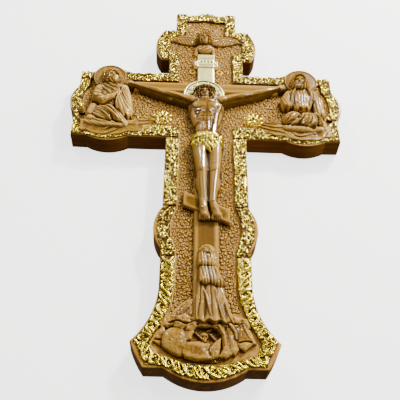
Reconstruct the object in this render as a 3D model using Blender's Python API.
"""Carved altar cross: a cross-lapped hardwood board with a gilded carved border
in separate lengths, a plain inner cross with title board and slanted footrest,
a corpus in high relief, side figures, a winged head, and a hill with a skull.

Plan coordinates are in millimetres: x across, v up from the lowest point of the
foot, z out of the back face. The row frame has its origin at the middle of the
back face, +X to the viewer's right, +Y towards the head of the cross, +Z out of
the carved face. The cross lies on its back.
"""
import math

import bmesh
import bpy
from mathutils import Vector

for old in list(bpy.data.objects):
    bpy.data.objects.remove(old)

MM = 0.001
GAP = 0.3                    # clearance kept between neighbouring solids
HALF = GAP / 2

# ---- driving dimensions, mm -------------------------------------------------
LENGTH = 546.5               # foot to crown, along v
MID_V = LENGTH / 2           # v of the row frame's origin
BOARD_T = 22.7               # jointed board, up to the carved ground
GROUND_Z = BOARD_T + GAP     # underside of everything laid on the board
RIM_Z = 26.0                 # bare wood rim of the border
GILT_Z = 28.5                # top of the gilded ornament
INNER_Z = 29.5               # face of the plain inner cross
RELIEF_Z = INNER_Z + GAP     # underside of what lies on the inner cross

SHAFT_X = 50.0               # half width of the shaft and neck
BAND_X = 33.5                # inner edge of the border on the shaft
NECK_IN_X = 36.0             # inner edge of the border on the neck
HEAD_X = 41.5                # half width of the crown
HEAD_IN_X = 27.5
ARM_LO, ARM_HI = 310.5, 421.0
ARM_IN_LO, ARM_IN_HI = 328.0, 407.0
ARM_END_LO, ARM_END_HI = 168.5, 166.0
ARM_IN_X = 153.5
NECK_TOP = 449.0
CROWN_V = 544.0
LOBE_SAG = 9.3               # how far the lobes stand out
LOBE_LO, LOBE_HI = 150.0, 206.0
LAP_Z = 12.7                 # mid plane of the cross lap

# ---- materials --------------------------------------------------------------
def material(name, colour, rough, metal=0.0):
    m = bpy.data.materials.new(name)
    m.use_nodes = True
    s = m.node_tree.nodes["Principled BSDF"]
    s.inputs["Base Color"].default_value = (*colour, 1)
    s.inputs["Roughness"].default_value = rough
    s.inputs["Metallic"].default_value = metal
    return m


WOOD = material("stained_wood", (0.33, 0.16, 0.05), 0.35)
PALE = material("honey_wood", (0.45, 0.25, 0.10), 0.35)
GILT = material("gilding", (0.85, 0.62, 0.22), 0.28, 1.0)
BEECH = material("dowel_wood", (0.62, 0.45, 0.26), 0.6)
BRASS = material("nail_brass", (0.45, 0.30, 0.12), 0.4, 1.0)


# ---- plan geometry ----------------------------------------------------------
def arc(p, q, sag, n):
    """n + 1 points from p to q on a circle that stands sag to the right of p -> q."""
    p, q = Vector(p), Vector(q)
    if abs(sag) < 1e-9:
        return [tuple(p.lerp(q, i / n)) for i in range(n + 1)]
    chord = (q - p).length
    radius = (chord * chord / 4 + sag * sag) / (2 * abs(sag))
    along = (q - p).normalized()
    side = Vector((along.y, -along.x)) * (1 if sag > 0 else -1)
    centre = (p + q) / 2 + side * (abs(sag) - radius)
    half = math.asin(min(1.0, chord / 2 / radius))
    if abs(sag) > radius:
        half = math.pi - half
    out = []
    for i in range(n + 1):
        a = -half + 2 * half * i / n
        out.append(tuple(centre + side * (radius * math.cos(a)) + along * (radius * math.sin(a))))
    return out


def mirrored(points):
    return [(-x, v) for x, v in reversed(points)]


def crown_curve(n):
    """The wavy top of the crown, from its right end to its left end."""
    out = []
    for i in range(n + 1):
        x = 27.0 - 54.0 * i / n
        out.append((x, 540.6 + 5.9 * math.exp(-((x / 11.5) ** 2))))
    return out


FOOT_RIGHT = [(42.0, 14.0), (62.3, 14.0)] + arc((62.3, 14.0), (76.7, 42.0), 1.2, 3)[1:]
FLARE_RIGHT = arc((76.7, 42.0), (SHAFT_X, 104.0), -6.5, 7)
LOBE_RIGHT = arc((SHAFT_X, LOBE_LO), (SHAFT_X, LOBE_HI), LOBE_SAG, 9)
ARM_LOBE_LOW = arc((98.0, ARM_LO), (149.7, ARM_LO), 7.5, 8)
ARM_LOBE_END = arc((168.0, 346.0), (166.4, 394.0), 8.4, 8)
ARM_LOBE_TOP = arc((149.7, ARM_HI), (98.0, ARM_HI), 8.2, 8)
HEAD_LOBE = arc((61.0, NECK_TOP), (59.0, 507.0), 9.2, 9)
FOOT_ARC = arc((-42.0, 14.0), (42.0, 14.0), 14.0, 14)


def lifted(bm, face, dz):
    """Extrude a lone face upwards and return the new top face."""
    made = bmesh.ops.extrude_face_region(bm, geom=[face])["geom"]
    bmesh.ops.translate(bm, vec=(0, 0, dz * MM), verts=[g for g in made if isinstance(g, bmesh.types.BMVert)])
    return [g for g in made if isinstance(g, bmesh.types.BMFace)][0]


def solid(name, points, z0, z1, mat, raise_to=None, inset=1.4, draft=0.6):
    """A prism on a plan outline, with an optional narrower raised field."""
    bm = bmesh.new()
    face = bm.faces.new([bm.verts.new((x * MM, (v - MID_V) * MM, z0 * MM)) for x, v in points])
    face.normal_update()
    if face.normal.z > 0:
        face.normal_flip()
    top = lifted(bm, face, z1 - z0)
    if raise_to is not None:
        bmesh.ops.inset_region(bm, faces=[top], thickness=inset * MM, use_even_offset=True)
        bmesh.ops.inset_region(bm, faces=[top], thickness=draft * MM, use_even_offset=True)
        bmesh.ops.translate(bm, vec=(0, 0, (raise_to - z1) * MM), verts=top.verts)
    bmesh.ops.recalc_face_normals(bm, faces=bm.faces)
    return placed(name, bm, mat)


def placed(name, bm, mat, smooth=False):
    mesh = bpy.data.meshes.new(name)
    bm.to_mesh(mesh)
    bm.free()
    obj = bpy.data.objects.new(name, mesh)
    bpy.context.scene.collection.objects.link(obj)
    if mat:
        mesh.materials.append(mat)
    if smooth:
        mesh.shade_smooth()
    return obj


def hidden(obj):
    obj.hide_render = True
    obj.display_type = "WIRE"
    return obj


def cut(obj, *cutters):
    for c in cutters:
        m = obj.modifiers.new("cut_" + c.name, "BOOLEAN")
        m.operation = "DIFFERENCE"
        m.object = c
        m.solver = "EXACT"
    return obj


def box(name, x0, x1, v0, v1, z0, z1, mat=None):
    return solid(name, [(x0, v0), (x1, v0), (x1, v1), (x0, v1)], z0, z1, mat)


def disc(name, x, v, r, z0, z1, mat, n=28, dome=0.0):
    """A flat round plate, with an optional slightly raised middle."""
    bm = bmesh.new()
    rings = [(r, z0), (r, z1 - 0.6), (r - 0.6, z1)]
    if dome:
        rings.append((r * 0.5, z1 + dome))
    loops = []
    for rr, z in rings:
        loops.append([bm.verts.new(((x + rr * math.cos(2 * math.pi * i / n)) * MM, (v + rr * math.sin(2 * math.pi * i / n) - MID_V) * MM, z * MM)) for i in range(n)])
    for a, b in zip(loops, loops[1:]):
        for i in range(n):
            bm.faces.new((a[i], a[(i + 1) % n], b[(i + 1) % n], b[i]))
    bm.faces.new(list(reversed(loops[0])))
    bm.faces.new(loops[-1])
    bmesh.ops.recalc_face_normals(bm, faces=bm.faces)
    return placed(name, bm, mat)


# ---- the jointed board ------------------------------------------------------
right_low = FOOT_RIGHT + FLARE_RIGHT[1:] + LOBE_RIGHT
upright_right = right_low + [(SHAFT_X, ARM_LO), (SHAFT_X, ARM_HI), (SHAFT_X, NECK_TOP)] + HEAD_LOBE + [(HEAD_X, 508.2), (HEAD_X, CROWN_V), (27.6, CROWN_V)]
upright_outline = FOOT_ARC[7:-1] + upright_right + crown_curve(16) + mirrored(upright_right) + FOOT_ARC[1:7]
upright = solid("upright_board", upright_outline, 0, BOARD_T, WOOD)

arm_right = [(SHAFT_X, ARM_LO)] + ARM_LOBE_LOW + [(ARM_END_LO, ARM_LO + 0.5)] + ARM_LOBE_END + [(ARM_END_HI, ARM_HI)] + ARM_LOBE_TOP + [(SHAFT_X, ARM_HI)]
crossbar = solid("crossbar_board", arm_right + mirrored(arm_right), 0, BOARD_T, WOOD)

# The cross lap: the upright keeps its front half and the crossbar its back half.
lap_back = hidden(box("lap_cut_back", -SHAFT_X - 5, SHAFT_X + 5, ARM_LO - GAP, ARM_HI + GAP, -5, LAP_Z + HALF))
lap_front = hidden(box("lap_cut_front", -SHAFT_X - GAP, SHAFT_X + GAP, ARM_LO - 20, ARM_HI + 20, LAP_Z - HALF, 60))
DOWEL_R, DOWEL_X, DOWEL_V = 4.0, 25.0, (ARM_LO + ARM_HI) / 2
dowel_cuts = []
for side, word in ((-1, "left"), (1, "right")):
    disc(f"lap_dowel_{word}", side * DOWEL_X, DOWEL_V, DOWEL_R, 4.0, 19.0, BEECH, n=16)
    c = disc(f"dowel_hole_{word}", side * DOWEL_X, DOWEL_V, DOWEL_R + GAP, 3.7, 19.9, None, n=16)
    dowel_cuts.append(hidden(c))
cut(upright, lap_back, *dowel_cuts)
cut(crossbar, lap_front, *dowel_cuts)

# ---- the gilded border, in lengths butted at the joint lines ---------------
def band(name, points):
    return solid(name, points, GROUND_Z, RIM_Z, GILT, raise_to=GILT_Z)


crown_in = [(-27.2, 528.0), (-14.0, 528.6), (-6.0, 530.4), (0.0, 531.0), (6.0, 530.4), (14.0, 528.6), (27.2, 528.0)]
band("border_crown", [p for p in crown_curve(16)] + crown_in)
foot_inner = arc((38.0, 24.6), (-38.0, 24.6), -7.2, 10)
band("border_foot", FOOT_ARC[7:-1] + [(42.0, 14.0), (62.3, 14.0)] + arc((62.3, 14.0), (76.6, 41.7), 1.2, 3)[1:]
     + [(56.3, 41.7), (56.4, 37.5), (51.0, 29.0)] + foot_inner + [(-51.0, 29.0), (-56.4, 37.5), (-56.3, 41.7)]
     + mirrored(arc((62.3, 14.0), (76.6, 41.7), 1.2, 3)[1:]) + [(-62.3, 14.0), (-42.0, 14.0)] + FOOT_ARC[1:7])

BORDER = {
    "border_crown_corner": [(27.5, 531.3), (HEAD_X, 531.3), (HEAD_X, CROWN_V), (27.5, CROWN_V)],
    "border_crown_side": [(HEAD_IN_X, 497.3), (HEAD_X, 497.3), (HEAD_X, 531.0), (HEAD_IN_X, 531.0)],
    "border_head_lobe": [(36.0, NECK_TOP + HALF)] + HEAD_LOBE[:1] + HEAD_LOBE[1:] + [(HEAD_X + GAP, 508.2), (HEAD_X + GAP, 496.6), (46.5, 491.5), (50.5, 482.0), (50.5, 469.0), (46.5, 462.5), (36.0, 461.0)],
    "border_neck": [(NECK_IN_X, ARM_IN_HI), (SHAFT_X - HALF, ARM_IN_HI), (SHAFT_X - HALF, NECK_TOP - HALF), (NECK_IN_X, NECK_TOP - HALF)],
    "border_arm_top": [(SHAFT_X + HALF, ARM_IN_HI), (149.7, ARM_IN_HI)] + ARM_LOBE_TOP + [(SHAFT_X + HALF, ARM_HI)],
    "border_arm_top_corner": [(150.0, ARM_IN_HI), (ARM_END_HI, ARM_IN_HI), (ARM_END_HI, ARM_HI), (150.0, ARM_HI)],
    "border_arm_end": [(ARM_IN_X, 338.6), (168.0, 346.2)] + ARM_LOBE_END[1:] + [(ARM_END_HI, ARM_IN_HI - GAP), (151.5, ARM_IN_HI - GAP)] + arc((151.5, 396.0), (ARM_IN_X, 345.0), -7.2, 7),
    "border_arm_low_corner": [(ARM_IN_X, ARM_LO + 0.5), (ARM_END_LO, ARM_LO + 0.5), (168.0, 345.8), (ARM_IN_X, 338.2)],
    "border_arm_low": [(BAND_X, ARM_LO + 0.6), (SHAFT_X, ARM_LO + 0.6), (SHAFT_X, ARM_LO)] + ARM_LOBE_LOW + [(ARM_IN_X - GAP, ARM_LO), (ARM_IN_X - GAP, ARM_IN_LO), (BAND_X, ARM_IN_LO)],
    "border_shaft": [(BAND_X, 206.8), (SHAFT_X, 206.8), (SHAFT_X, ARM_LO + 0.3 - GAP), (BAND_X, ARM_LO + 0.3 - GAP)],
    "border_shaft_lobe": [(BAND_X, 140.3), (SHAFT_X, 140.3)] + LOBE_RIGHT + [(SHAFT_X, 206.5), (BAND_X, 206.5)] + arc((BAND_X, LOBE_HI), (BAND_X, LOBE_LO), -7.5, 7),
    "border_flare": [(56.2, 42.0)] + FLARE_RIGHT + [(SHAFT_X, 140.0), (BAND_X, 140.0), (BAND_X, 104.0), (37.0, 84.0), (44.5, 64.0), (53.6, 47.0)],
}
for name, points in BORDER.items():
    band(name + "_right", points)
    band(name + "_left", mirrored(points))


# ---- the plain inner cross --------------------------------------------------
def beam(name, length_points, mat, z1=INNER_Z, chamfer=3.4, z0=GROUND_Z, drop=2.6):
    """A bar on a plan outline whose long edges are rounded off by two facets."""
    bm = bmesh.new()
    face = bm.faces.new([bm.verts.new((x * MM, (v - MID_V) * MM, z0 * MM)) for x, v in length_points])
    face.normal_update()
    if face.normal.z > 0:
        face.normal_flip()
    top = lifted(bm, face, z1 - drop - z0)
    for share, rise in ((0.35, 0.65), (0.65, 0.35)):
        bmesh.ops.inset_region(bm, faces=[top], thickness=chamfer * share * MM, use_even_offset=True)
        bmesh.ops.translate(bm, vec=(0, 0, drop * rise * MM), verts=top.verts)
    bmesh.ops.recalc_face_normals(bm, faces=bm.faces)
    return placed(name, bm, mat)


POST_X = 15.5
BEAM_LO, BEAM_HI, BEAM_X = 386.5, 403.0, 101.0
FOOTREST_SLOPE, FOOTREST_V, FOOTREST_W = math.tan(math.radians(-24.0)), 204.0, 24.0
HILL_V = 66.0
post = beam("inner_post", [(-POST_X, HILL_V + GAP), (POST_X, HILL_V + GAP), (POST_X, BEAM_LO - GAP), (-POST_X, BEAM_LO - GAP)], PALE)
beam("inner_beam", [(-BEAM_X, BEAM_LO), (BEAM_X, BEAM_LO), (BEAM_X, BEAM_HI), (-BEAM_X, BEAM_HI)], PALE)
beam("title_post", [(-POST_X, BEAM_HI + GAP), (POST_X, BEAM_HI + GAP), (POST_X, 458.0), (-POST_X, 458.0)], GILT)
box("title_board", -18.5, 18.5, 437.0, 456.5, RELIEF_Z, 32.4, GILT)

def footrest_outline(grow):
    x1 = BAND_X - GAP + grow
    half = FOOTREST_W / 2 + grow
    return [(-x1, FOOTREST_V - FOOTREST_SLOPE * x1 - half), (x1, FOOTREST_V + FOOTREST_SLOPE * x1 - half),
            (x1, FOOTREST_V + FOOTREST_SLOPE * x1 + half), (-x1, FOOTREST_V - FOOTREST_SLOPE * x1 + half)]


post_cut = hidden(box("cut_post", -POST_X - GAP, POST_X + GAP, HILL_V - 2, 459, 10, RELIEF_Z))
beam_cut = hidden(box("cut_beam", -BEAM_X - GAP, BEAM_X + GAP, BEAM_LO - GAP, BEAM_HI + GAP, 10, RELIEF_Z))
REST_Z = 32.6
footrest = beam("footrest", footrest_outline(0), PALE, z1=REST_Z)
cut(footrest, post_cut)
rest_cut = hidden(solid("cut_footrest", footrest_outline(GAP), 10, REST_Z + GAP, None))


# ---- carved figures: domes and limbs that stand on the ground ---------------
BASE_Z = 20.0  # carved shapes start below the ground and are trimmed to it


def dome(at, radii, turn=0.0, n=16):
    """Upper half of an ellipsoid with straight sides down to the ground."""
    x, v, z = at
    rx, rv, rz = radii
    pts = []
    for j in range(5):
        e = math.pi / 2 * j / 4.0
        m = 1 if j == 4 else n
        for i in range(m):
            a = 2 * math.pi * i / m
            px, pv = rx * math.cos(e) * math.cos(a), rv * math.cos(e) * math.sin(a)
            c, s = math.cos(math.radians(turn)), math.sin(math.radians(turn))
            pts.append((x + px * c - pv * s, v + px * s + pv * c, z + rz * math.sin(e)))
    return pts


def limb(a, ra, b, rb, n=12):
    """A tapered rounded limb from a to b, with straight sides down."""
    return dome(a, (ra, ra, ra), n=n) + dome(b, (rb, rb, rb), n=n)


def carved(name, shapes, mat, voxel=1.3, ratio=0.1, cutters=(), floor=GROUND_Z, guide=False):
    """Hulls of the given point groups, fused by a voxel remesh and thinned out."""
    bm = bmesh.new()
    for pts in shapes:
        verts = [bm.verts.new((x * MM, (v - MID_V) * MM, z * MM)) for x, v, z in pts]
        verts += [bm.verts.new((x * MM, (v - MID_V) * MM, BASE_Z * MM)) for x, v, z in pts]
        made = bmesh.ops.convex_hull(bm, input=verts)
        bmesh.ops.delete(bm, geom=list({g for g in made["geom_interior"] + made["geom_unused"] if isinstance(g, bmesh.types.BMVert)}), context="VERTS")
    bmesh.ops.recalc_face_normals(bm, faces=bm.faces)
    obj = placed(name, bm, mat, smooth=True)
    m = obj.modifiers.new("fuse", "REMESH")
    m.mode, m.voxel_size, m.adaptivity = "VOXEL", voxel * MM, 0.0
    m = obj.modifiers.new("ease", "SMOOTH")
    m.factor, m.iterations = 0.5, 2
    m = obj.modifiers.new("thin", "DECIMATE")
    m.ratio = ratio
    if guide:
        m = obj.modifiers.new("clearance", "DISPLACE")
        m.strength, m.mid_level = 0.45 * MM, 0.0
        return hidden(obj)
    floor_cut = hidden(box("floor_" + name, -260, 260, -60, 640, -20, floor))
    cut(obj, floor_cut, *cutters)
    m = obj.modifiers.new("weld", "WELD")
    m.merge_threshold = 0.03 * MM
    return obj


HALO_AT, HALO_R, HALO_Z = (-3.0, 380.5), 26.2, 32.0
disc("corpus_halo", *HALO_AT, HALO_R, RELIEF_Z, HALO_Z, GILT, n=26)
halo_cut = hidden(disc("cut_halo", *HALO_AT, HALO_R + GAP, 10, HALO_Z + GAP + 0.6, None, n=26))

BODY = [
    dome((0.0, 352.0, 32.0), (20.5, 19.0, 10.5)),
    dome((0.3, 332.0, 31.5), (15.8, 20.0, 8.5)),
    dome((0.5, 304.0, 32.0), (16.8, 15.0, 8.8)),
    limb((-8.6, 300.0, 32.0), 9.4, (-6.0, 251.0, 35.0), 7.0),
    limb((-6.0, 251.0, 35.0), 7.0, (-4.0, 207.0, 34.0), 4.6),
    limb((9.2, 300.0, 32.0), 9.4, (9.0, 251.0, 35.5), 7.0),
    limb((9.0, 251.0, 35.5), 7.0, (7.0, 207.0, 34.0), 4.6),
    limb((-4.0, 207.0, 34.5), 4.6, (-5.0, 186.5, 33.5), 4.2),
    limb((7.0, 207.0, 34.5), 4.6, (10.5, 186.0, 33.5), 4.4),
    limb((-17.5, 363.0, 33.5), 6.6, (17.0, 365.0, 33.5), 6.6),
    limb((-1.5, 362.0, 34.0), 6.0, (-2.5, 372.0, 36.0), 5.2),
]
NAILS = {"nail_hand_left": (-97.5, 394.6, 33.6), "nail_hand_right": (95.5, 394.8, 33.6), "nail_foot_left": (-4.4, 196.0, 37.6), "nail_foot_right": (8.6, 196.0, 37.6)}
nail_cuts = {n: hidden(disc("hole_" + n, x, v, 1.5, z - 3.2, 60, None, n=10)) for n, (x, v, z) in NAILS.items()}
for n, (x, v, z) in NAILS.items():
    shank = disc(n, x, v, 1.1, z - 2.6, z + 1.6, BRASS, n=10)
body = carved("corpus_body", BODY, PALE, voxel=1.2, ratio=0.029, cutters=(post_cut, rest_cut, halo_cut, nail_cuts["nail_foot_left"], nail_cuts["nail_foot_right"]), floor=RELIEF_Z)
body_guide = carved("guide_body", BODY, None, voxel=1.2, ratio=0.029, guide=True)

ARM = {
    "corpus_arm_left": [limb((-19.0, 366.0, 33.5), 6.2, (-58.0, 379.5, 33.5), 4.9), limb((-58.0, 379.5, 33.5), 4.9, (-90.0, 392.0, 31.5), 3.6), limb((-90.0, 392.0, 31.5), 3.6, (-98.5, 395.0, 31.3), 4.4)],
    "corpus_arm_right": [limb((19.0, 367.5, 33.5), 6.2, (57.0, 379.5, 33.5), 4.9), limb((57.0, 379.5, 33.5), 4.9, (88.0, 392.0, 31.5), 3.6), limb((88.0, 392.0, 31.5), 3.6, (96.5, 395.0, 31.3), 4.4)],
}
for name, shapes in ARM.items():
    nail = nail_cuts["nail_hand_left" if "left" in name else "nail_hand_right"]
    carved(name, shapes, PALE, voxel=1.1, ratio=0.05, cutters=(post_cut, beam_cut, halo_cut, body_guide, nail))

carved("corpus_head", [dome((-4.0, 382.5, 37.0), (9.6, 12.0, 8.5), 8), dome((-4.6, 373.5, 36.0), (6.4, 7.0, 7.0), 8)], PALE, voxel=1.0, ratio=0.07, cutters=(body_guide,), floor=HALO_Z + GAP)

CLOTH = [
    dome((0.5, 306.0, 33.0), (21.0, 9.5, 13.0)),
    dome((0.5, 298.0, 33.5), (20.2, 10.5, 12.5)),
    limb((0.0, 306.0, 37.0), 9.5, (4.5, 288.0, 38.0), 7.0),
]
carved("loincloth", CLOTH, GILT, voxel=1.1, ratio=0.05, cutters=(post_cut, body_guide), floor=RELIEF_Z)

# ---- side figures, seated on rocky ledges -----------------------------------
LEDGE_TOP = 335.0
ledge_cut_low = hidden(box("cut_ledge_low", -180, 180, 290, ARM_IN_LO + GAP, 5, GILT_Z + GAP))
ledge_cut_ends = [hidden(box("cut_ledge_end_l", -190, -ARM_IN_X + 2.0 + GAP, 290, 420, 5, 70)), hidden(box("cut_ledge_end_r", ARM_IN_X - 2.0 - GAP, 190, 290, 420, 5, 70))]
over_ledge = hidden(box("cut_over_ledge", -190, 190, LEDGE_TOP - HALF, 430, 5, 70))
under_figure = hidden(box("cut_under_figure", -190, 190, 290, LEDGE_TOP + HALF, 5, 70))
halo_cuts = []
for side, word in ((-1, "left"), (1, "right")):
    disc(f"{word}_saint_halo", side * 125.5, 405.5, 21.4, GILT_Z + GAP, 31.4, PALE, n=24)
    halo_cuts.append(hidden(disc(f"cut_{word}_halo", side * 125.5, 405.5, 21.4 + GAP, 5, 31.4 + GAP + 0.6, None, n=24)))
LEFT_LEDGE = [dome((-127.0, 327.0, 29.8), (31.0, 9.5, 4.6)), dome((-150.0, 329.0, 29.8), (10.0, 7.5, 3.6)), dome((-98.0, 329.0, 29.6), (26.0, 6.5, 2.6), -4), dome((-128.0, 333.0, 29.8), (24.0, 7.0, 6.0))]
RIGHT_LEDGE = [dome((127.0, 327.0, 29.8), (31.0, 9.5, 4.6)), dome((150.0, 329.0, 29.8), (10.0, 7.5, 3.6)), dome((98.0, 329.0, 29.6), (26.0, 6.5, 2.6), 4), dome((128.0, 333.0, 29.8), (24.0, 7.0, 6.0))]
carved("left_ledge", LEFT_LEDGE, PALE, voxel=1.3, ratio=0.042, cutters=(ledge_cut_low, ledge_cut_ends[0], over_ledge))
carved("right_ledge", RIGHT_LEDGE, PALE, voxel=1.3, ratio=0.042, cutters=(ledge_cut_low, ledge_cut_ends[1], over_ledge))

LEFT_SAINT = [
    dome((-127.0, 380.0, 29.0), (15.5, 19.0, 10.0), 8),
    dome((-134.0, 369.0, 31.0), (12.0, 12.0, 8.5), 20),
    dome((-118.0, 358.0, 29.0), (17.0, 17.0, 8.5), -35),
    dome((-132.0, 347.0, 28.5), (18.0, 11.0, 7.5), -12),
    dome((-110.0, 343.0, 27.0), (13.0, 12.0, 5.5), -30),
    dome((-126.5, 403.0, 34.0), (10.0, 12.0, 7.5), 12),
]
RIGHT_SAINT = [
    dome((126.0, 378.0, 29.5), (16.0, 20.0, 10.0), -4),
    dome((112.5, 372.0, 28.0), (8.0, 15.0, 7.5), -12),
    dome((138.0, 366.0, 29.0), (10.0, 20.0, 8.0), 6),
    dome((122.0, 352.0, 29.0), (16.0, 13.0, 8.0), 20),
    dome((139.0, 345.0, 28.5), (11.0, 11.0, 7.5)),
    dome((110.0, 344.0, 27.0), (10.0, 9.0, 5.5), 20),
    dome((125.5, 404.0, 34.0), (9.6, 12.0, 7.5), -6),
]
carved("left_saint", LEFT_SAINT, PALE, voxel=1.3, ratio=0.038, cutters=(under_figure, halo_cuts[0], ledge_cut_ends[0]))
carved("right_saint", RIGHT_SAINT, PALE, voxel=1.25, ratio=0.038, cutters=(under_figure, halo_cuts[1], ledge_cut_ends[1]))

# ---- winged head in the crown ----------------------------------------------
CHERUB = [dome((-2.0, 486.0, 30.0), (8.2, 9.6, 7.6)), dome((-1.0, 470.0, 26.0), (11.0, 9.5, 6.0))]
cherub_guide = carved("guide_cherub", CHERUB, None, voxel=1.1, ratio=0.07, guide=True)
title_cut = hidden(box("cut_title", -20, 20, 400, 458.4, 5, 60))
carved("winged_head", CHERUB, PALE, voxel=1.1, ratio=0.07, cutters=(title_cut,))
for side, word in ((-1, "left"), (1, "right")):
    wing = [dome((side * 28.0 - 1.0, 487.0, 26.0), (17.0, 6.5, 4.6), side * 8.0), dome((side * 15.0 - 1.0, 480.0, 26.5), (8.0, 8.5, 5.0), side * -30.0)]
    carved(f"{word}_wing", wing, PALE, voxel=1.1, ratio=0.06, cutters=(cherub_guide,))

# ---- gilded fleurons on the arms -------------------------------------------
for word, cx in (("left", -55.0), ("right", 60.0)):
    cv = 346.0
    shapes = [dome((cx, cv, 23.5), (2.6, 9.5, 2.6)), dome((cx - 5.0, cv + 1.0, 23.5), (4.2, 7.0, 2.2), 22), dome((cx + 5.0, cv + 1.0, 23.5), (4.2, 7.0, 2.2), -22), dome((cx, cv - 8.0, 23.5), (6.5, 2.4, 2.2)), dome((cx, cv + 10.5, 23.5), (8.6, 2.0, 2.2))]
    shapes.append(dome((cx, cv + 7.0, 23.5), (2.0, 5.0, 2.0)))
    carved(f"{word}_fleuron", shapes, GILT, voxel=0.8, ratio=0.07)

# ---- foot of the cross ------------------------------------------------------
under_mourner = hidden(box("cut_under_mourner", -90, 90, -20, HILL_V + HALF, 5, 70))
over_hill = hidden(box("cut_over_hill", -90, 90, HILL_V - HALF, 220, 5, 70))
MOURNER = [
    dome((1.0, 142.0, 33.5), (8.0, 10.0, 8.0)),
    dome((1.5, 124.0, 31.5), (12.5, 15.0, 8.5)),
    dome((1.5, 104.0, 31.0), (15.5, 22.0, 8.0)),
    dome((0.0, 80.0, 29.5), (24.0, 24.0, 7.5)),
    dome((-16.0, 78.0, 28.0), (14.0, 18.0, 6.0), 25),
    dome((17.0, 80.0, 28.0), (13.0, 19.0, 6.0), -22),
]
carved("mourner", MOURNER, PALE, voxel=1.3, ratio=0.038, cutters=(post_cut, under_mourner))

CAVE = dome((0.5, 47.0, 45.0), (14.0, 9.5, 9.0))
cave_bm = bmesh.new()
cave_pts = [(x, v, z) for x, v, z in CAVE] + [(x, v, 25.0) for x, v, z in CAVE]
bmesh.ops.convex_hull(cave_bm, input=[cave_bm.verts.new((x * MM, (v - MID_V) * MM, z * MM)) for x, v, z in cave_pts])
bmesh.ops.delete(cave_bm, geom=[v for v in cave_bm.verts if not v.link_faces], context="VERTS")
bmesh.ops.recalc_face_normals(cave_bm, faces=cave_bm.faces)
cave_cut = hidden(placed("cut_cave", cave_bm, None))
HILL = [
    dome((0.0, 42.0, 27.0), (44.0, 22.0, 7.0)),
    dome((-26.0, 42.0, 28.0), (19.0, 17.0, 7.5), 10),
    dome((27.0, 42.0, 28.0), (20.0, 17.0, 7.5), -12),
    dome((0.0, 33.0, 29.0), (22.0, 9.5, 7.0)),
    dome((-20.0, 57.0, 30.0), (12.0, 9.0, 6.5), 20),
    dome((22.0, 56.0, 30.0), (12.0, 9.0, 6.5), -20),
]
carved("hill", HILL, PALE, voxel=1.3, ratio=0.038, cutters=(over_hill, cave_cut))
carved("skull", [dome((-0.5, 48.5, 28.0), (6.4, 5.6, 6.0)), dome((-0.5, 43.5, 27.0), (3.8, 3.6, 4.6))], PALE, voxel=0.8, ratio=0.07, floor=25.0 + GAP)
